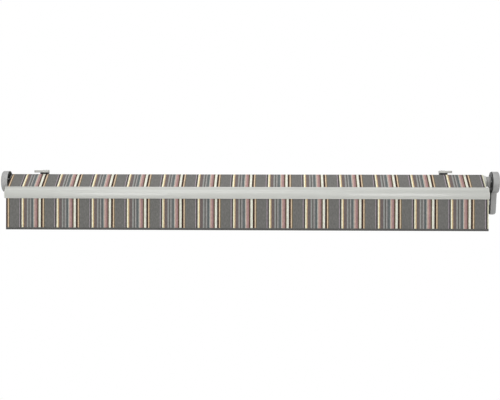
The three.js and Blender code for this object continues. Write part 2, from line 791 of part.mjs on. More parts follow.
function arm(side, name) {
  const tilt = new THREE.Group();
  const shoulderHalf = knuckleHeight / 2 + seatGap + cheek + seatGap;
  const tongueHalf = tongueHeight / 2 + seatGap + cheek + seatGap;
  tilt.add(part('shoulder_pin_' + name, looks.steel, pin(0, 0, shoulderHalf)));
  tilt.add(part('upper_arm_' + name, looks.aluminium, placeUpper(armTube(upperTube))));
  tilt.add(part('shoulder_knuckle_' + name, looks.casting, shoulderKnuckle()));
  tilt.add(part('elbow_fork_' + name, looks.casting, elbowFork()));
  tilt.add(part('arm_spring_' + name, looks.steel, armSpring()));
  tilt.add(part('arm_cable_' + name, looks.steel, armCable()));
  tilt.add(part('elbow_pin_' + name, looks.steel, pin(elbow.x, elbow.y, tongueHalf)));
  tilt.add(part('forearm_' + name, looks.aluminium, placeFore(armTube(foreTube))));
  tilt.add(part('elbow_tongue_' + name, looks.casting, elbowTongue()));
  tilt.add(part('front_knuckle_' + name, looks.casting, frontKnuckle()));
  tilt.add(part('front_pin_' + name, looks.steel, pin(frontPivot.x, frontPivot.y, tongueHalf)));
  tilt.position.set(0, shoulderY, shoulderZ);
  tilt.rotation.x = armPitch;
  const whole = new THREE.Group();
  whole.add(part('shoulder_bracket_' + name, looks.casting, shoulderBracket()));
  whole.add(part('front_bracket_' + name, looks.casting, frontBracket()));
  whole.add(tilt);
  whole.position.x = side * shoulderX;
  whole.scale.x = side;
  return whole;
}

// Outline of the front bar: flat back, upright band above, and a rounded nose that leans back
// to the lower edge
function barOutline(inset) {
  const back = barBackY - inset;
  const top = barTopZ - inset;
  const bottom = barBottomZ + inset;
  const face = barFaceY + inset;
  const nose = barNoseY + inset;
  const foot = barFootY + inset;
  const out = (barFaceY - barNoseY) / 2;
  const outline = new THREE.Shape();
  outline.moveTo(back, bottom);
  outline.lineTo(back, top);
  outline.lineTo(face + barFaceRound, top);
  outline.quadraticCurveTo(face, top, face, top - barFaceRound);
  outline.lineTo(face, barFaceFootZ);
  outline.bezierCurveTo(face - out / 2, barFaceFootZ - out, nose, barNoseZ + out, nose, barNoseZ);
  outline.bezierCurveTo(nose, barNoseZ - 2 * out, foot - out / 3, bottom + out, foot, bottom);
  return outline;
}

// A round channel for a keder, open through a slot at the angle given in the plane of Y and Z
function groove(centre, direction, radius, mouth, length, from, to) {
  const slot = extrude(rectangle(0, -mouth / 2, length, mouth / 2), to - from, 1);
  slot.applyMatrix4(profileToX).rotateX(direction).translate(from, centre.y, centre.z);
  return join(roundX(centre.y, centre.z, radius, from, to, 12), solid(slot));
}

function frontBar() {
  const outside = alongX(barOutline(0), barLeft, barRight, 12);
  const inside = alongX(barOutline(barWall), barLeft - overlap, barRight + overlap, 12);
  const grooves = [[canopyGroove, clothSlope], [valanceGroove, -Math.PI / 2]];
  const bosses = grooves.map(([centre, direction]) => groove(
    centre, direction, grooveRadius + grooveWall, grooveMouth + 2 * grooveWall, beyond, barLeft, barRight,
  ).intersect(outside));
  const cuts = grooves.map(([centre, direction]) => groove(
    centre, direction, grooveRadius, grooveMouth, beyond, barLeft - overlap, barRight + overlap,
  ));
  return outside.subtract(inside).add(join(...bosses)).subtract(join(...cuts));
}

function barEndCap(side) {
  const cap = new THREE.ExtrudeGeometry(barOutline(0), {
    depth: 2 * (barCap - barCapEdge),
    bevelThickness: barCapEdge,
    bevelSize: barCapEdge,
    bevelOffset: -barCapEdge,
    bevelSegments: 2,
    curveSegments: 6,
  });
  cap.applyMatrix4(profileToX).translate(barCapEdge - barCap, 0, 0);
  const kept = side < 0 ? slab(-2 * barCap, 0) : slab(0, 2 * barCap);
  return solid(cap).intersect(kept).translate([side * (barRight + seatGap), 0, 0]);
}

function keder(centre, from, to) {
  return roundX(centre.y, centre.z, kederRadius, from, to, 12);
}

function valanceCord() {
  return keder(valanceGroove, valanceLeft + kederInset, valanceRight - kederInset);
}

const valanceTop = valanceGroove.z - kederRadius - seatGap;
const valanceFoot = barBottomZ - valanceDrop;

function valance() {
  const half = clothThickness / 2;
  const { y } = valanceGroove;
  const foot = valanceFoot + bindingThickness + seatGap;
  return alongX(rectangle(y - half, foot, y + half, valanceTop), valanceLeft, valanceRight);
}

// Dark tape folded over the lower edge of the valance
function valanceBinding() {
  const inner = clothThickness / 2 + seatGap;
  const outer = inner + bindingThickness;
  const top = valanceFoot + bindingHeight;
  const { y } = valanceGroove;
  const tape = alongX(rectangle(y - outer, valanceFoot, y + outer, top), valanceLeft, valanceRight);
  const fold = alongX(
    rectangle(y - inner, valanceFoot + bindingThickness, y + inner, top + overlap),
    valanceLeft - overlap, valanceRight + overlap,
  );
  return tape.subtract(fold);
}

const awning = new THREE.Group();
awning.name = 'awning';
awning.add(torsionBar(), clothRoll(), canopySheet(), rollerTube());
awning.add(rollerFlange(-1, canopyLeft, flangeLeftLength));
awning.add(rollerFlange(1, canopyRight, flangeRightLength));
awning.add(rollerPlug(-1, rollerLeft, leftPlateOuter + seatGap));
awning.add(rollerPlug(1, rollerRight, rightPlateOuter - stubInset));
awning.add(axleBush('axle_bush_left', leftPlateOuter, leftPlateX));
awning.add(axleBush('axle_bush_right', rightPlateX, rightPlateOuter));
awning.add(leftEndPlate(), rightEndPlate(), leftCover(), rightCover());
awning.add(gearCase(), crankShaft(), crankEye());
awning.add(bracketSet(-1, 'left', leftBracketX, leftHeadTip));
awning.add(bracketSet(1, 'right', rightBracketX, rightHeadTip));
awning.add(arm(-1, 'left'), arm(1, 'right'));
awning.add(part('front_bar', looks.aluminium, frontBar()));
awning.add(part('bar_cap_left', looks.paleCap, barEndCap(-1)));
awning.add(part('bar_cap_right', looks.paleCap, barEndCap(1)));
awning.add(part('canopy_keder', looks.keder, keder(canopyGroove, canopyLeft, canopyRight)));
awning.add(part('valance_keder', looks.keder, valanceCord()));
awning.add(part('valance', looks.cloth, valance()));
awning.add(part('valance_binding', looks.binding, valanceBinding()));

export default awning;
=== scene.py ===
"""Looks of an open folding-arm awning, wound in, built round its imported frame."""

import json
import math

import bmesh
import bpy
from bpy.props import FloatProperty, FloatVectorProperty, IntProperty, PointerProperty
from mathutils import Matrix, Vector, noise


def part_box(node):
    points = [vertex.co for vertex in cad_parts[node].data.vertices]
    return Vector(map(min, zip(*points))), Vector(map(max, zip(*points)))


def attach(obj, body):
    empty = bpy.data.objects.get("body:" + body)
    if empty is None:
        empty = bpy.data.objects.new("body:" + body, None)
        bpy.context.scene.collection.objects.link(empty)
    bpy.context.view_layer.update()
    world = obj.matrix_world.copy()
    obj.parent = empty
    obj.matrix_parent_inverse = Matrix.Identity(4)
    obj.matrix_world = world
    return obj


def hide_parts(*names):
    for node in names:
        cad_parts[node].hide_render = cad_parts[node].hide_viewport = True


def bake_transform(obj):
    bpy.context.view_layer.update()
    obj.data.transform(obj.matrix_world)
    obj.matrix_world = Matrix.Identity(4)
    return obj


bl_info = {
    "name": "Folding-arm awning",
    "version": (1, 0, 0),
    "blender": (4, 5, 0),
    "location": "View3D > Sidebar > Awning",
    "description": "Cloth, castings and finishes of a folding-arm awning, round its frame",
    "category": "Object",
}

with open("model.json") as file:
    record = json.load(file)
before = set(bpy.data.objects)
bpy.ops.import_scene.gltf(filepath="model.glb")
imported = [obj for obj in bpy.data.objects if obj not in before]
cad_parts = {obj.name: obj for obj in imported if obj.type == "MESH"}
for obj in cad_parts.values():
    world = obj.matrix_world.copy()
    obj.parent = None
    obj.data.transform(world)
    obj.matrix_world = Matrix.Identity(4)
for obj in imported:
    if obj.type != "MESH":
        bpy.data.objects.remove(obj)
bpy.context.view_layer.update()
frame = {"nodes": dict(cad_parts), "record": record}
NODE_BODY = {
    node: body
    for body, nodes in frame["record"]["behaviour"]["bodies"].items()
    for node in nodes
}
NODE_SLOT = {row["node"]: row["material_slot"] for row in frame["record"]["subparts"]}

# Places read from the frame, in metres
SHEET_LOW, SHEET_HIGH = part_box("canopy_sheet")
ROLL_LOW, ROLL_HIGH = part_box("fabric_roll")
TUBE_LOW, TUBE_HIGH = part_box("roller_tube")
VALANCE_LOW, VALANCE_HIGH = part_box("valance")
BINDING_LOW, BINDING_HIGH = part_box("valance_binding")
AXIS_Y = (TUBE_LOW.y + TUBE_HIGH.y) / 2
AXIS_Z = (TUBE_LOW.z + TUBE_HIGH.z) / 2
TUBE_RADIUS = (TUBE_HIGH.z - TUBE_LOW.z) / 2
ROLL_RADIUS = ROLL_HIGH.z - AXIS_Z
VALANCE_Y = (VALANCE_LOW.y + VALANCE_HIGH.y) / 2

# Signs of the directions along X and along Y
LEFT, RIGHT = -1, 1
FRONT, BACK = -1, 1

# Cleaning of the solids' facets, and rounding of the sharp edges that are left
MERGE_DISTANCE = 1e-6
FLAT_ANGLE = math.radians(0.5)
SHARP_ANGLE = math.radians(35.0)
EDGE_ROUNDING = 0.0008
EDGE_SEGMENTS = 2

# The covers, with the way that each faces, and the shallow panels sunk into their outer faces
COVERS = {"end_cover_left": (LEFT, 0, 0), "end_cover_right": (RIGHT, 0, 0)}
PANEL_LEAST_AREA = 0.002
PANEL_MARGIN = 0.004
PANEL_WALL = 0.0006
PANEL_DEPTH = 0.0012

# Cosines of the angle between a face's normal and a direction: along it, up, towards it, away
STRAIGHT = 0.999
UPWARDS = 0.99
TOWARDS = 0.2
AWAY = -0.7

# Screws and bolts: radius and height of each kind of head, and how deep it is seated
COVER_SCREW = (0.0042, 0.002)
CAP_SCREW = (0.0036, 0.0014)
HEAD_SCREW = (0.004, 0.0018)
FRONT_BOLT = (0.0035, 0.003)
SHOULDER_BOLT = (0.0062, 0.005)
HEAD_SINK = 0.0004

# Shape of a head, as shares of its radius: the top of a pan head, half the width and half the
# length of the cross in it, the slope of the cross's walls, and a washer
PAN_TOP = 0.8
CROSS_ARM = 0.14
CROSS_REACH = 0.55
CROSS_SLOPE = 0.02
WASHER_RADIUS = 1.3
WASHER_THICKNESS = 0.25
# The same as shares of its height: depth of the cross, and the broken edge of a hexagon head
CROSS_DEPTH = 0.6
HEX_BEVEL = 0.15

# Y and Z of the covers' posts that have a screw through the end plate, and its thickness
LEFT_POSTS = ((-0.053, 0.030),)
RIGHT_POSTS = ((-0.114, 0.080), (-0.041, 0.040), (-0.027, -0.131))
PLATE_THICKNESS = 0.006
# Screws of a bar cap: how far from its back and its foot, and the upper one from its top
CAP_SCREW_INSET = 0.018
CAP_SCREW_TOP_INSET = 0.015
# Bolts of a front bracket: thickness of the plate that they hold, and way from its middle in X
FRONT_PLATE_THICKNESS = 0.005
FRONT_BOLT_SPREAD = 0.0262
# Bolts of a shoulder bracket: half the height of its grip on the torsion bar, and way from
# its middle in X
GRIP_HALF = 0.0258
SHOULDER_BOLT_SPREAD = 0.017
# Screw of a bracket's head: way from the side nearest the awning's middle, and from its back
HEAD_SCREW_INSET = 0.021
HEAD_SCREW_BACK_INSET = 0.014

# Cloth, tape and thread. The tape stands off the middle of the cloth, and the stitches off
# the middle of the tape.
CLOTH_THICKNESS = 0.0006
TAPE_THICKNESS = 0.0005
TAPE_STANDOFF = 0.0012
STITCH_PITCH = 0.0045
STITCH_SIZE = (STITCH_PITCH * 0.8, 0.0006, 0.0007)
STITCH_INSET = 0.0022
STITCH_STANDOFF = 0.0003

# The camera, as fitted to the photograph, which is 500 pixels wide
IMAGE_WIDTH = 500
FOCAL_PIXELS = 950.0
SENSOR_MM = 36.0
CAMERA_FAR = 60.0
CAMERA_PLACE = Vector((0.293, -6.905, -0.055))
CAMERA_YAW = math.radians(2.2)
CAMERA_ROLL = math.radians(0.15)

# Place and size of each lamp, and the floor: it fades to white between two radii
LAMPS = {
    "front": ((-3.8, -6.3, -0.9), 2.5),
    "right": ((3.6, -5.5, 0.3), 2.5),
    "top": ((-0.5, -2.0, 4.2), 4.5),
    "back": ((0.5, 5.5, 2.6), 3.5),
}
FLOOR_RADIUS = 14.0
FLOOR_FADE_START = 1.6
FLOOR_FADE_END = 3.4

# One repeat of the woven stripes: width in millimetres and the name of the yarn
STRIPE_REPEAT = (
    (70.4, "slate"), (3.9, "lilac"), (9.5, "coal"), (4.3, "sand"), (5.7, "cream"),
    (7.5, "straw"), (22.3, "heather"), (10.0, "ash"), (10.4, "stone"), (6.4, "silver"),
    (9.6, "pine"), (9.8, "spruce"), (6.8, "mist"), (9.9, "rose"), (11.5, "dusk"),
    (9.3, "bark"), (15.9, "ivory"), (13.9, "ink"), (8.3, "peach"), (5.9, "umber"),
)
YARNS = {
    "slate": (105, 104, 101), "lilac": (171, 158, 168), "coal": (57, 54, 54),
    "sand": (154, 150, 134), "cream": (252, 249, 219), "straw": (197, 172, 130),
    "heather": (103, 92, 90), "ash": (142, 143, 140), "stone": (92, 90, 86),
    "silver": (156, 154, 151), "pine": (103, 105, 104), "spruce": (85, 94, 94),
    "mist": (172, 170, 163), "rose": (186, 155, 144), "dusk": (153, 121, 121),
    "bark": (82, 65, 46), "ivory": (221, 222, 208), "ink": (48, 27, 12),
    "peach": (209, 185, 155), "umber": (101, 90, 68),
}

# Where the repeat starts on the valance and on the canopy, in metres of X. The stripes lie
# wider by the spread on the right half and narrower by it on the left half.
VALANCE_START = 0.0838
CANOPY_START = 0.0750
STRIPE_SPREAD = 0.0062

# Grain of the cloth: features to the metre and share in the shade, for single yarns, for slubs
# and for the broad change of tone. Yarns and slubs are stretched along the stripes.
YARN_GRAIN, YARN_SHARE, YARN_STRETCH = 900.0, 0.3, (1.0, 0.3, 0.3)
SLUB_GRAIN, SLUB_SHARE, SLUB_STRETCH = 150.0, 0.7, (1.0, 0.35, 0.35)
BROAD_GRAIN, BROAD_SHARE = 3.0, 0.08

# The weave: warp threads to the metre, roughness, strength and depth of the bumps
WARP_THREADS = 1000
CLOTH_ROUGHNESS = 0.88
WEAVE_STRENGTH = 0.25
WEAVE_DEPTH = 0.0004

# Plain finishes: depth of the grain, features to the metre of the broad change, how far tone
# and roughness change with it, and the tones on either side of the colour
GRAIN_DEPTH = 0.0003
TONE_GRAIN = 9.0
TONE_GAIN = 4.0
TONE_LIGHT = 1.22
TONE_DARK = 0.86
ROUGHNESS_CHANGE = 0.12

# Painted shade, as shares: the covers' inner walls, which get little light, and the valance
COVER_PAINTED_SHADE = 0.72
# The valance is the canopy's cloth, painted darker because it hangs upright and gets less light
VALANCE_PAINTED_SHADE = 0.85

WHITE = (1.0, 1.0, 1.0, 1.0)


def linear(colour):
    """An sRGB colour of three numbers up to 255, as linear values from 0 to 1."""
    scaled = [part / 255 for part in colour[:3]]
    return tuple(
        part / 12.92 if part <= 0.04045 else ((part + 0.055) / 1.055) ** 2.4
        for part in scaled
    )


class Socket:
    """A shader socket that takes part in Python sums."""

    def __init__(self, shader, link):
        self.shader = shader
        self.link = link

    def maths(self, operation, *others):
        return self.shader.node("ShaderNodeMath", {"operation": operation}, [self, *others])

    def __add__(self, other):
        return self.maths("ADD", other)

    def __radd__(self, other):
        return self.maths("ADD", other)

    def __sub__(self, other):
        return self.maths("SUBTRACT", other)

    def __rsub__(self, other):
        return self.shader.node("ShaderNodeMath", {"operation": "SUBTRACT"}, [other, self])

    def __mul__(self, other):
        return self.maths("MULTIPLY", other)

    def __rmul__(self, other):
        return self.maths("MULTIPLY", other)

    def __truediv__(self, other):
        return self.maths("DIVIDE", other)

    def __rtruediv__(self, other):
        return self.shader.node("ShaderNodeMath", {"operation": "DIVIDE"}, [other, self])


class Nodes:
    """The nodes of a material or of the world."""

    def __init__(self, tree):
        self.tree = tree

    def node(self, kind, settings=None, values=None, output=0):
        """Adds a node: its settings first, then the values or links of its sockets."""
        made = self.tree.nodes.new(kind)
        for key, value in (settings or {}).items():
            if key == "stops":
                self.fill_ramp(made.color_ramp, value)
            else:
                setattr(made, key, value)
        entries = values.items() if isinstance(values, dict) else enumerate(values or [])
        for key, value in entries:
            if isinstance(value, Socket):
                self.tree.links.new(value.link, made.inputs[key])
            else:
                made.inputs[key].default_value = value
        return Socket(self, made.outputs[output])

    @staticmethod
    def fill_ramp(ramp, stops):
        while len(ramp.elements) > 1:
            ramp.elements.remove(ramp.elements[0])
        for index, (place, colour) in enumerate(stops):
            stop = ramp.elements[0] if index == 0 else ramp.elements.new(place)
            stop.position = place
            stop.color = (*colour, 1.0)

    def show(self, shown, end):
        """Links what is to be shown to the tree's own output node."""
        self.tree.links.new(shown.link, self.tree.nodes[end].inputs["Surface"])


class Shader(Nodes):
    """A material and the nodes that it is put together from."""

    def __init__(self, name):
        self.material = bpy.data.materials.new(name)
        self.material.use_nodes = True
        super().__init__(self.material.node_tree)
        self.surface = self.tree.nodes["Principled BSDF"]

    def place(self):
        """Where a point lies, in metres: as one vector, and as X, Y and Z."""
        where = self.node("ShaderNodeTexCoord", output=3)
        split = self.node("ShaderNodeSeparateXYZ", None, [where])
        outputs = split.link.node.outputs
        return where, Socket(self, outputs[0]), Socket(self, outputs[1]), Socket(self, outputs[2])

    def grain(self, where, scale, detail=2.0, stretch=(1.0, 1.0, 1.0)):
        """Noise from 0 to 1, with features of about 1 / scale metres."""
        stretched = self.node("ShaderNodeVectorMath", {"operation": "MULTIPLY"}, [where, stretch])
        return self.node(
            "ShaderNodeTexNoise", None, {"Vector": stretched, "Scale": scale, "Detail": detail}
        )

    def mix(self, factor, first, second):
        """Mixes two colours."""
        return self.node(
            "ShaderNodeMix", {"data_type": "RGBA"}, {0: factor, 6: first, 7: second}, output=2
        )

    def bump(self, height, strength, distance):
        return self.node(
            "ShaderNodeBump", None,
            {"Strength": strength, "Distance": distance, "Height": height},
        )

    def finish(self, **sockets):
        """Sets the surface: Base_Color=..., Roughness=... and so on."""
        for key, value in sockets.items():
            target = self.surface.inputs[key.replace("_", " ")]
            if isinstance(value, Socket):
                self.tree.links.new(value.link, target)
            else:
                target.default_value = value
        return self.material


def to_255(colour):
    """A colour property as sRGB numbers up to 255."""
    return [part * 255 for part in colour]


def rgba(colour, gain=1.0):
    """A colour as a shader's socket takes it, made lighter or darker."""
    return (*[min(part * gain, 1.0) for part in linear(colour)], 1.0)


def striped_cloth(name, shift, gain):
    """Woven acrylic with stripes that run across the awning's depth, shifted along X."""
    shader = Shader(name)
    where, across, _, _ = shader.place()
    repeat = sum(width for width, _ in STRIPE_REPEAT) / 1000
    spread = across.maths("ABSOLUTE") * STRIPE_SPREAD
    phase = ((across - spread - shift) / repeat).maths("FRACT")
    stops = []
    reached = 0.0
    for width, kind in STRIPE_REPEAT:
        stops.append((reached / (repeat * 1000), linear(YARNS[kind])))
        reached += width
    ramp = shader.node("ShaderNodeValToRGB", {"stops": stops}, {"Fac": phase})
    ramp.link.node.color_ramp.interpolation = "CONSTANT"
    yarn = shader.grain(where, YARN_GRAIN, stretch=YARN_STRETCH)
    slub = shader.grain(where, SLUB_GRAIN, stretch=SLUB_STRETCH)
    broad = shader.grain(where, BROAD_GRAIN)
    # The noises lie round a half, so that much is taken off to keep the mean at the gain
    mean = (YARN_SHARE + SLUB_SHARE + BROAD_SHARE) / 2
    # A gain below one darkens the whole cloth: painted shade, as on the valance
    shade = yarn * YARN_SHARE + slub * SLUB_SHARE + broad * BROAD_SHARE + (gain - mean)
    tint = shader.node("ShaderNodeCombineXYZ", None, [shade, shade, shade])
    colour = shader.node("ShaderNodeVectorMath", {"operation": "MULTIPLY"}, [ramp, tint])
    warp = (across * (2 * math.pi * WARP_THREADS)).maths("SINE")
    weave = warp * 0.5 + yarn
    return shader.finish(
        Base_Color=colour, Roughness=CLOTH_ROUGHNESS,
        Normal=shader.bump(weave, WEAVE_STRENGTH, WEAVE_DEPTH),
    )


def plain_finish(
    name, colour, roughness, metallic=0.0, grain_scale=900.0, bump=0.12, wear=0.06, coat=0.0,
):
    """A moulded, coated or bare surface, with fine grain and a slight change of tone."""
    shader = Shader(name)
    where, _, _, _ = shader.place()
    fine = shader.grain(where, grain_scale)
    broad = shader.grain(where, TONE_GRAIN, 3.0)
    tone = broad * wear + fine * (wear * 0.5)
    mixed = shader.mix(tone * TONE_GAIN, rgba(colour, TONE_DARK), rgba(colour, TONE_LIGHT))
    blended = shader.mix(0.5, rgba(colour), mixed)
    rough = broad * ROUGHNESS_CHANGE + (roughness - ROUGHNESS_CHANGE / 2)
    return shader.finish(
        Base_Color=blended, Roughness=rough, Metallic=metallic, Coat_Weight=coat,
        Normal=shader.bump(fine, bump, GRAIN_DEPTH),
    )


LOOKS = {}


def look(name):
    """The finish of that name, a material slot's in most cases. The first call makes them all."""
    if not LOOKS:
        make_looks(bpy.context.scene.awning_colours)
    return LOOKS[name]


def make_looks(colours):
    """Makes each finish once."""
    cover, casting = to_255(colours.cover), to_255(colours.casting)
    bar, coating, tape = to_255(colours.bar), to_255(colours.coating), to_255(colours.tape)
    LOOKS.update(
        canopy=striped_cloth("canopy_cloth", CANOPY_START, 1.0),
        # Painted shade: the valance is the canopy's cloth made darker, as it hangs upright
        valance=striped_cloth("valance_cloth", VALANCE_START, VALANCE_PAINTED_SHADE),
        binding=plain_finish("binding_tape", tape, 0.9, grain_scale=1400.0, bump=0.3),
        keder=plain_finish("keder_rod", (214, 214, 208), 0.6),
        grey_cover=plain_finish("grey_moulding", cover, 0.44),
        # Painted shade on the covers' inner walls, where little light falls
        cover_inside=plain_finish("unlit_moulding", [part * COVER_PAINTED_SHADE for part in cover], 0.7),
        pale_cap=plain_finish("pale_moulding", (206, 206, 200), 0.45),
        aluminium=plain_finish("coated_aluminium", bar, 0.36, bump=0.06, coat=0.3),
        casting=plain_finish("coated_casting", casting, 0.45, grain_scale=500.0, bump=0.2),
        dark_steel=plain_finish("dark_coated_steel", coating, 0.62, wear=0.02),
        steel=plain_finish("zinc_plate", (160, 161, 163), 0.42, metallic=0.6),
        nylon=plain_finish("grey_nylon", (120, 120, 122), 0.5),
        thread=plain_finish("sewing_thread", (128, 127, 122), 0.8, grain_scale=2500.0, bump=0.4),
    )


def put(name, shape, material, body, replaces=(), smooth=True):
    """Makes a piece from a bmesh, in place, and lets it ride on a body."""
    mesh = bpy.data.meshes.new(name)
    shape.to_mesh(mesh)
    shape.free()
    piece = bpy.data.objects.new(name, mesh)
    bpy.context.scene.collection.objects.link(piece)
    mesh.materials.append(material)
    if smooth:
        mesh.shade_smooth()
    if body:
        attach(piece, body)
    if replaces:
        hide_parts(*replaces)
    return piece


def round_edges(piece):
    """Rounds the sharp edges of a piece and keeps its flat faces flat."""
    modifier = piece.modifiers.new("edges", "BEVEL")
    modifier.width = EDGE_ROUNDING
    modifier.segments = EDGE_SEGMENTS
    modifier.limit_method = "ANGLE"
    modifier.angle_limit = SHARP_ANGLE
    modifier.harden_normals = True


def thicken(piece, thickness):
    """Gives a sheet its thickness, half on each side."""
    modifier = piece.modifiers.new("thickness", "SOLIDIFY")
    modifier.thickness = thickness
    modifier.offset = 0.0


def sink_panels(shape, outward):
    """Sinks a shallow panel into each large flat face that looks outwards."""
    flat = [
        face for face in shape.faces
        if face.normal.dot(outward) > STRAIGHT and face.calc_area() > PANEL_LEAST_AREA
    ]
    for face in flat:
        for thickness, depth in ((PANEL_MARGIN, 0.0), (PANEL_WALL, -PANEL_DEPTH)):
            bmesh.ops.inset_region(
                shape, faces=[face], thickness=thickness, depth=depth, use_even_offset=True,
            )


def painted_shade_faces(shape, node):
    """Numbers of the faces that look at the cover's middle or against the way that it faces."""
    low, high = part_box(node)
    middle = (low + high) / 2
    outward = Vector(COVERS[node])
    shape.normal_update()
    shape.faces.index_update()
    found = []
    for face in shape.faces:
        back = middle - face.calc_center_median()
        across = Vector((0, back.y, back.z))
        looks_in = face.normal.dot(across.normalized()) > TOWARDS
        if looks_in or face.normal.dot(outward) < AWAY:
            found.append(face.index)
    return found


def cross_head(radius, height):
    """A pan head that looks up Z, with a cross cut into it."""
    shape = bmesh.new()
    bmesh.ops.create_cone(
        shape, cap_ends=True, segments=20, radius1=radius, radius2=radius * PAN_TOP, depth=height,
    )
    bmesh.ops.translate(shape, verts=shape.verts, vec=(0, 0, height / 2))
    arm, reach = radius * CROSS_ARM, radius * CROSS_REACH
    for axis in (Vector((1, 0, 0)), Vector((0, 1, 0))):
        for place in (-reach, -arm, arm, reach):
            top = [face for face in shape.faces if face.normal.z > UPWARDS]
            edges = {edge for face in top for edge in face.edges}
            corners = {corner for face in top for corner in face.verts}
            bmesh.ops.bisect_plane(
                shape, geom=[*top, *edges, *corners], plane_co=axis * place, plane_no=axis,
            )
    cut = []
    for face in shape.faces:
        near, far = sorted(abs(part) for part in face.calc_center_median()[:2])
        if face.normal.z > UPWARDS and near < arm and far < reach:
            cut.append(face)
    bmesh.ops.inset_region(
        shape, faces=cut, thickness=radius * CROSS_SLOPE, depth=-height * CROSS_DEPTH,
        use_even_offset=True,
    )
    return shape


def hex_head(radius, height):
    """A hexagon head on a washer, looking up Z."""
    shape = bmesh.new()
    rim, washer = radius * WASHER_RADIUS, radius * WASHER_THICKNESS
    bmesh.ops.create_cone(
        shape, cap_ends=True, segments=24, radius1=rim, radius2=rim, depth=washer,
        matrix=Matrix.Translation((0, 0, washer / 2)),
    )
    bmesh.ops.create_cone(
        shape, cap_ends=True, segments=6, radius1=radius, radius2=radius, depth=height,
        matrix=Matrix.Translation((0, 0, washer + height / 2)),
    )
    crown = [
        edge for edge in shape.edges
        if all(corner.co.z > washer + height * 0.9 for corner in edge.verts)
    ]
    bmesh.ops.bevel(
        shape, geom=crown, offset=height * HEX_BEVEL, affect="EDGES", segments=1, profile=0.5,
        material=-1,
    )
    return shape


def set_heads(name, head, places, outward, node):
    """Sets a copy of a small head at each place on a node, as one piece."""
    pattern = bpy.data.meshes.new(name + "_head")
    head.to_mesh(pattern)
    head.free()
    turn = Vector(outward).to_track_quat("Z", "Y").to_matrix().to_4x4()
    shape = bmesh.new()
    for place in places:
        made = len(shape.verts)
        shape.from_mesh(pattern)
        shape.verts.ensure_lookup_table()
        sunk = Vector(place) - Vector(outward) * HEAD_SINK
        bmesh.ops.transform(
            shape, matrix=Matrix.Translation(sunk) @ turn, verts=shape.verts[made:],
        )
    bpy.data.meshes.remove(pattern)
    return put(name, shape, look("steel"), NODE_BODY[node], smooth=False)


def nodes_of(slots):
    """The nodes whose material slot is one of these, by name."""
    return sorted(node for node, slot in NODE_SLOT.items() if slot in slots)


def dress(node):
    """Stands a merged copy of a rigid node, with rounded edges, in the node's place."""
    source = frame["nodes"][node]
    slot = NODE_SLOT[node]
    shape = bmesh.new()
    shape.from_mesh(source.data)
    shape.transform(source.matrix_world)
    bmesh.ops.remove_doubles(shape, verts=shape.verts, dist=MERGE_DISTANCE)
    bmesh.ops.dissolve_limit(
        shape, angle_limit=FLAT_ANGLE, verts=shape.verts, edges=shape.edges,
        use_dissolve_boundaries=False, delimit=set(),
    )
    inner = []
    if node in COVERS:
        sink_panels(shape, Vector(COVERS[node]))
        # Faces of the inner walls, which get the darker finish as painted shade
        inner = painted_shade_faces(shape, node)
    piece = put(node + "_finish", shape, look(slot), NODE_BODY[node], [node])
    if inner:
        piece.data.materials.append(look("cover_inside"))
    for index in inner:
        piece.data.polygons[index].material_index = 1
    round_edges(piece)


def colour_property(name, description, colour):
    """A colour that the user can change, given as sRGB up to 255."""
    return FloatVectorProperty(
        name=name, description=description, default=[part / 255 for part in colour],
        min=0.0, max=1.0, size=3, subtype="COLOR_GAMMA",
    )


class AwningColours(bpy.types.PropertyGroup):
    """Colours of the coated, moulded and sewn pieces."""

    bar: colour_property("Front bar", "Coating of the front bar and the arms", (187, 188, 183))
    casting: colour_property("Castings", "Coating of the brackets and knuckles", (184, 184, 179))
    coating: colour_property("Steel", "Dark coating of the steel behind", (20, 20, 20))
    cover: colour_property("Covers", "Plastic of the end covers", (158, 158, 157))
    tape: colour_property("Tape", "Tape along the valance's foot", (78, 78, 76))


class AwningCloth(bpy.types.PropertyGroup):
    """Sizes of the cloth."""

    ripple: FloatProperty(
        name="Ripple", description="Depth of the slow waves in the valance",
        default=0.0012, subtype="DISTANCE", unit="LENGTH",
    )
    columns: IntProperty(
        name="Columns", description="Steps of the cloth along the awning", default=240,
    )


class AwningStage(bpy.types.PropertyGroup):
    """Light and floor."""

    sky: FloatProperty(name="Sky", description="Strength of the even light", default=0.45)
    front: FloatProperty(
        name="Front lamp", description="Power of the lamp in front, to the left",
        default=116.0, subtype="POWER",
    )
    right: FloatProperty(
        name="Right lamp", description="Power of the lamp in front, to the right",
        default=90.0, subtype="POWER",
    )
    top: FloatProperty(
        name="Top lamp", description="Power of the lamp overhead",
        default=150.0, subtype="POWER",
    )
    back: FloatProperty(
        name="Back lamp", description="Power of the lamp behind, for the views from there",
        default=110.0, subtype="POWER",
    )
    floor_drop: FloatProperty(
        name="Floor", description="Depth of the floor under the torsion bar",
        default=2.3, subtype="DISTANCE", unit="LENGTH",
    )


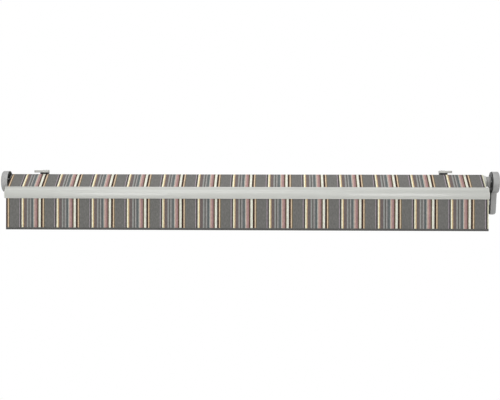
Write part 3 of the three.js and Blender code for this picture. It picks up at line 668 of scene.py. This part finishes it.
class AWNING_OT_stage(bpy.types.Operator):
    """Sets the camera, the lamps, the world and the floor."""

    bl_idname = "awning.stage"
    bl_label = "Stage"

    def execute(self, context):
        options = context.scene.awning_stage
        self.set_camera(context)
        self.set_world(context, options.sky)
        for name, (place, size) in LAMPS.items():
            self.add_lamp(name + "_lamp", place, size, getattr(options, name))
        self.add_floor(options.floor_drop)
        context.scene.view_settings.view_transform = "Standard"
        return {"FINISHED"}

    @staticmethod
    def set_camera(context):
        """A level camera, turned a little to the left and rolled by a hair."""
        camera = bpy.data.cameras.new("camera")
        camera.sensor_width = SENSOR_MM
        camera.lens = FOCAL_PIXELS * SENSOR_MM / IMAGE_WIDTH
        camera.clip_end = CAMERA_FAR
        holder = bpy.data.objects.new("camera", camera)
        context.scene.collection.objects.link(holder)
        level = Vector((math.cos(CAMERA_YAW), math.sin(CAMERA_YAW), 0))
        up = Vector((0, 0, 1))
        right = level * math.cos(CAMERA_ROLL) + up * math.sin(CAMERA_ROLL)
        above = up * math.cos(CAMERA_ROLL) - level * math.sin(CAMERA_ROLL)
        turn = Matrix((right, above, right.cross(above))).transposed().to_4x4()
        holder.matrix_world = Matrix.Translation(CAMERA_PLACE) @ turn
        context.scene.camera = holder

    @staticmethod
    def set_world(context, strength):
        """Even light of the given strength, and plain white wherever it is seen."""
        world = bpy.data.worlds.new("studio")
        context.scene.world = world
        world.use_nodes = True
        sky = Nodes(world.node_tree)
        camera_ray, glossy_ray, clear_ray = [
            sky.node("ShaderNodeLightPath", output=kind)
            for kind in ("Is Camera Ray", "Is Glossy Ray", "Is Transmission Ray")
        ]
        in_view = camera_ray.maths("MAXIMUM", glossy_ray).maths("MAXIMUM", clear_ray)
        lit = sky.node("ShaderNodeBackground", None, {"Color": WHITE, "Strength": strength})
        seen = sky.node("ShaderNodeBackground", None, {"Color": WHITE, "Strength": 1.0})
        sky.show(sky.node("ShaderNodeMixShader", None, [in_view, lit, seen]), "World Output")

    @staticmethod
    def add_lamp(name, place, size, power):
        """A square lamp that looks at the middle of the torsion bar."""
        lamp = bpy.data.lights.new(name, "AREA")
        lamp.size = size
        lamp.energy = power
        holder = bpy.data.objects.new(name, lamp)
        bpy.context.scene.collection.objects.link(holder)
        holder.location = place
        holder.rotation_euler = (-Vector(place)).to_track_quat("-Z", "Y").to_euler()

    @staticmethod
    def add_floor(drop):
        """A pale floor that keeps the shadow and fades into the white round it."""
        shape = bmesh.new()
        bmesh.ops.create_circle(shape, cap_ends=True, segments=96, radius=FLOOR_RADIUS)
        bmesh.ops.translate(shape, verts=shape.verts, vec=(0, 0, -drop))
        shader = Shader("studio_floor")
        _, x, y, _ = shader.place()
        radius = (x * x + y * y).maths("SQRT")
        fade = shader.node(
            "ShaderNodeMapRange", {"interpolation_type": "SMOOTHSTEP"},
            {"Value": radius, "From Min": FLOOR_FADE_START, "From Max": FLOOR_FADE_END},
        )
        glow = shader.node("ShaderNodeEmission", None, {"Color": WHITE})
        amount = fade * shader.node("ShaderNodeLightPath", output="Is Camera Ray")
        matt = Socket(shader, shader.surface.outputs[0])
        shader.show(
            shader.node("ShaderNodeMixShader", None, [amount, matt, glow]), "Material Output",
        )
        shader.finish(Base_Color=rgba((250, 250, 249)), Roughness=0.9)
        put("floor", shape, shader.material, None, smooth=False)


class AWNING_OT_canopy(bpy.types.Operator):
    """Makes the taut cloth between the roll and the front bar."""

    bl_idname = "awning.canopy"
    bl_label = "Canopy"

    rows = 20

    # Slow waves across the cloth: depth, how fast they change, their place in the noise. The
    # slack is how far the cloth hangs through on top of them.
    wave_depth = 0.0006
    wave_across = 9.0
    wave_along = 0.8
    wave_place = 4.1
    slack = 0.0004

    def execute(self, context):
        columns = context.scene.awning_cloth.columns
        width = SHEET_HIGH.x - SHEET_LOW.x
        front = Vector((0, SHEET_LOW.y, SHEET_LOW.z))
        back = Vector((0, SHEET_HIGH.y, SHEET_HIGH.z))
        shape = bmesh.new()
        bmesh.ops.create_grid(shape, x_segments=columns, y_segments=self.rows, size=0.5)
        middle = (SHEET_LOW.x + SHEET_HIGH.x) / 2
        for vertex in shape.verts:
            along = vertex.co.y + 0.5
            point = front.lerp(back, along)
            wave = noise.noise(
                Vector((vertex.co.x * self.wave_across, along * self.wave_along, self.wave_place))
            )
            sag = math.sin(math.pi * along) * (self.wave_depth * wave - self.slack)
            vertex.co = Vector((middle + vertex.co.x * width, point.y, point.z + sag))
        piece = put(
            "canopy_cloth", shape, look("canopy"), None, ["canopy_sheet"],
        )
        thicken(piece, CLOTH_THICKNESS)
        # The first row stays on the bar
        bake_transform(piece)
        return {"FINISHED"}


class AWNING_OT_roll(bpy.types.Operator):
    """Rolls the rest of the cloth round the roller."""

    bl_idname = "awning.roll"
    bl_label = "Roll"

    turns = 8.2
    steps_per_turn = 60
    columns = 8

    def execute(self, context):
        outer = ROLL_RADIUS - CLOTH_THICKNESS
        inner = TUBE_RADIUS + CLOTH_THICKNESS
        steps = round(self.turns * self.steps_per_turn)
        touch = Vector((SHEET_HIGH.y - AXIS_Y, SHEET_HIGH.z - AXIS_Z))
        last = math.atan2(touch.y, touch.x)
        shape = bmesh.new()
        bmesh.ops.create_grid(shape, x_segments=self.columns, y_segments=steps, size=0.5)
        middle = (ROLL_LOW.x + ROLL_HIGH.x) / 2
        width = ROLL_HIGH.x - ROLL_LOW.x
        for vertex in shape.verts:
            wound = vertex.co.y + 0.5
            angle = last - (1 - wound) * self.turns * 2 * math.pi
            radius = inner + (outer - inner) * wound
            vertex.co = Vector((
                middle + vertex.co.x * width,
                AXIS_Y + radius * math.cos(angle),
                AXIS_Z + radius * math.sin(angle),
            ))
        piece = put(
            "fabric_roll_cloth", shape, look("canopy"), "roller", ["fabric_roll"],
        )
        thicken(piece, CLOTH_THICKNESS)
        return {"FINISHED"}


class AWNING_OT_valance(bpy.types.Operator):
    """Hangs the valance under the front bar, with its bound edge."""

    bl_idname = "awning.valance"
    bl_label = "Valance"

    rows = 24
    tape_rows = 10

    # Share of the tape's half width that turns under the cloth's edge
    turn = 0.1

    # Waves of the cloth: how fast they change in X and downwards, their place in the noise, the
    # share of the quick ones, and how soon they reach their full depth below the groove
    slow_wave = (2.3, 0.6, 1.7)
    quick_wave = (6.1, 1.0, 8.2)
    quick_share = 0.5
    growth = 1.4

    def execute(self, context):
        options = context.scene.awning_cloth
        width = VALANCE_HIGH.x - VALANCE_LOW.x
        drop = VALANCE_HIGH.z - VALANCE_LOW.z
        middle = (VALANCE_LOW.x + VALANCE_HIGH.x) / 2
        shape = bmesh.new()
        bmesh.ops.create_grid(shape, x_segments=options.columns, y_segments=self.rows, size=0.5)
        for vertex in shape.verts:
            down = 0.5 - vertex.co.y
            swing = self.swing(middle + vertex.co.x * width, down, options.ripple)
            vertex.co = Vector((
                middle + vertex.co.x * width, VALANCE_Y + swing, VALANCE_HIGH.z - down * drop,
            ))
        piece = put(
            "valance_cloth", shape, look("valance"), "front_bar", ["valance"],
        )
        thicken(piece, CLOTH_THICKNESS)
        self.bind(options, drop)
        return {"FINISHED"}

    def swing(self, x, down, ripple):
        """How far the cloth stands off its plane: nothing in the groove, most near the hem."""
        slow, quick = [
            noise.noise(Vector((x * across, down * along, place)))
            for across, along, place in (self.slow_wave, self.quick_wave)
        ]
        return ripple * (slow + self.quick_share * quick) * min(down * self.growth, 1.0)

    def bind(self, options, drop):
        """Tape folded over the lower edge, following the cloth."""
        width = BINDING_HIGH.x - BINDING_LOW.x
        height = BINDING_HIGH.z - BINDING_LOW.z
        fold = TAPE_STANDOFF / 2
        shape = bmesh.new()
        bmesh.ops.create_grid(
            shape, x_segments=options.columns, y_segments=self.tape_rows, size=0.5,
        )
        middle = (BINDING_LOW.x + BINDING_HIGH.x) / 2
        for vertex in shape.verts:
            x = middle + vertex.co.x * width
            around = vertex.co.y * 2
            side = math.copysign(min(abs(around) / self.turn, 1.0), around) if around else 0.0
            climb = max(abs(around) - self.turn, 0) / (1 - self.turn)
            z = BINDING_LOW.z + fold + (height - fold) * climb
            down = min((VALANCE_HIGH.z - z) / drop, 1.0)
            y = VALANCE_Y + self.swing(x, down, options.ripple) + side * TAPE_STANDOFF
            vertex.co = Vector((x, y, z))
        bmesh.ops.recalc_face_normals(shape, faces=shape.faces)
        piece = put(
            "valance_binding_tape", shape, look("binding"), "front_bar", ["valance_binding"],
        )
        thicken(piece, TAPE_THICKNESS)
        self.stitch(options, drop)

    def stitch(self, options, drop):
        """A row of stitches on each side, just under the edge of the tape."""
        z = BINDING_HIGH.z - STITCH_INSET
        down = (VALANCE_HIGH.z - z) / drop
        count = int((BINDING_HIGH.x - BINDING_LOW.x) / STITCH_PITCH)
        shape = bmesh.new()
        for index in range(count):
            x = BINDING_LOW.x + (index + 0.5) * STITCH_PITCH
            cloth = VALANCE_Y + self.swing(x, down, options.ripple)
            for side in (FRONT, BACK):
                y = cloth + side * (TAPE_STANDOFF + STITCH_STANDOFF)
                bmesh.ops.create_icosphere(
                    shape, subdivisions=1, radius=0.5,
                    matrix=Matrix.Translation((x, y, z)) @ Matrix.Diagonal((*STITCH_SIZE, 1)),
                )
        put("valance_stitches", shape, look("thread"), "front_bar")


class AWNING_OT_mouldings(bpy.types.Operator):
    """Finishes the pieces of plastic: covers, caps, flanges, plugs, bushes and keders."""

    bl_idname = "awning.mouldings"
    bl_label = "Mouldings"

    def execute(self, context):
        for node in nodes_of({"grey_cover", "pale_cap", "nylon", "keder"}):
            dress(node)
        return {"FINISHED"}


class AWNING_OT_metalwork(bpy.types.Operator):
    """Finishes the pieces of metal: bars, arms, castings, plates, springs and pins."""

    bl_idname = "awning.metalwork"
    bl_label = "Metalwork"

    def execute(self, context):
        for node in nodes_of({"aluminium", "casting", "dark_steel", "steel"}):
            dress(node)
        return {"FINISHED"}


class AWNING_OT_fixings(bpy.types.Operator):
    """Adds the screws and bolts: covers, end caps, brackets and shoulders."""

    bl_idname = "awning.fixings"
    bl_label = "Fixings"

    def execute(self, context):
        self.fix_cover("left", LEFT, LEFT_POSTS)
        self.fix_cover("right", RIGHT, RIGHT_POSTS)
        for name, side in (("left", LEFT), ("right", RIGHT)):
            self.fix_cap(name, side)
            self.fix_front_bracket(name)
            self.fix_shoulder(name)
            self.fix_head(name, side)
        return {"FINISHED"}

    @staticmethod
    def fix_cover(name, side, posts):
        """A screw through the end plate into each post that can be seen."""
        node = "end_plate_" + name
        low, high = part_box(node)
        outer = high.x if side == RIGHT else low.x
        places = [(outer - side * PLATE_THICKNESS, y, z) for y, z in posts]
        set_heads("cover_screws_" + name, cross_head(*COVER_SCREW), places, (-side, 0, 0), node)

    @staticmethod
    def fix_cap(name, side):
        """Two screws that hold the cap on the end of the front bar."""
        node = "bar_cap_" + name
        low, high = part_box(node)
        x = high.x if side == RIGHT else low.x
        y = high.y - CAP_SCREW_INSET
        places = [(x, y, high.z - CAP_SCREW_TOP_INSET), (x, y, low.z + CAP_SCREW_INSET)]
        set_heads("cap_screws_" + name, cross_head(*CAP_SCREW), places, (side, 0, 0), node)

    @staticmethod
    def fix_front_bracket(name):
        """Two bolts that hold the front bracket on the back of the bar."""
        node = "front_bracket_" + name
        low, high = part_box(node)
        middle = (low + high) / 2
        y = low.y + FRONT_PLATE_THICKNESS
        spread = (-FRONT_BOLT_SPREAD, FRONT_BOLT_SPREAD)
        places = [(middle.x + step, y, middle.z) for step in spread]
        set_heads("front_bolts_" + name, hex_head(*FRONT_BOLT), places, (0, 1, 0), node)

    @staticmethod
    def fix_shoulder(name):
        """Two bolts that clamp the shoulder bracket, under the torsion bar."""
        node = "shoulder_bracket_" + name
        low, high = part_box(node)
        x = (low.x + high.x) / 2
        spread = (-SHOULDER_BOLT_SPREAD, SHOULDER_BOLT_SPREAD)
        places = [(x + step, high.y - GRIP_HALF, -GRIP_HALF) for step in spread]
        set_heads("shoulder_bolts_" + name, hex_head(*SHOULDER_BOLT), places, (0, 0, -1), node)

    @staticmethod
    def fix_head(name, side):
        """The screw that holds the moulded head on its bracket."""
        node = "bracket_head_" + name
        low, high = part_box(node)
        x = low.x + HEAD_SCREW_INSET if side == RIGHT else high.x - HEAD_SCREW_INSET
        place = (x, high.y - HEAD_SCREW_BACK_INSET, high.z)
        set_heads("head_screw_" + name, cross_head(*HEAD_SCREW), [place], (0, 0, 1), node)


class AWNING_PT_panel(bpy.types.Panel):
    """Lists the pieces of the awning."""

    bl_idname = "AWNING_PT_panel"
    bl_label = "Awning"
    bl_space_type = "VIEW_3D"
    bl_region_type = "UI"
    bl_category = "Awning"

    def draw(self, context):
        column = self.layout.column()
        for operator in OPERATORS:
            column.operator(operator.bl_idname)
        column.prop(context.scene.awning_cloth, "ripple")
        for name in ("bar", "casting", "coating", "cover", "tape"):
            column.prop(context.scene.awning_colours, name)
        column.prop(context.scene.awning_stage, "sky")


OPERATORS = (
    AWNING_OT_stage, AWNING_OT_canopy, AWNING_OT_roll, AWNING_OT_valance, AWNING_OT_mouldings,
    AWNING_OT_metalwork, AWNING_OT_fixings,
)
CLASSES = (AwningCloth, AwningColours, AwningStage, *OPERATORS, AWNING_PT_panel)


def register():
    for item in CLASSES:
        bpy.utils.register_class(item)
    bpy.types.Scene.awning_cloth = PointerProperty(type=AwningCloth)
    bpy.types.Scene.awning_colours = PointerProperty(type=AwningColours)
    bpy.types.Scene.awning_stage = PointerProperty(type=AwningStage)


def unregister():
    del bpy.types.Scene.awning_stage
    del bpy.types.Scene.awning_colours
    del bpy.types.Scene.awning_cloth
    for item in reversed(CLASSES):
        bpy.utils.unregister_class(item)


def main():
    register()
    bpy.ops.awning.stage()
    bpy.ops.awning.canopy()
    bpy.ops.awning.roll()
    bpy.ops.awning.valance()
    bpy.ops.awning.mouldings()
    bpy.ops.awning.metalwork()
    bpy.ops.awning.fixings()


if __name__ == "__main__":
    main()
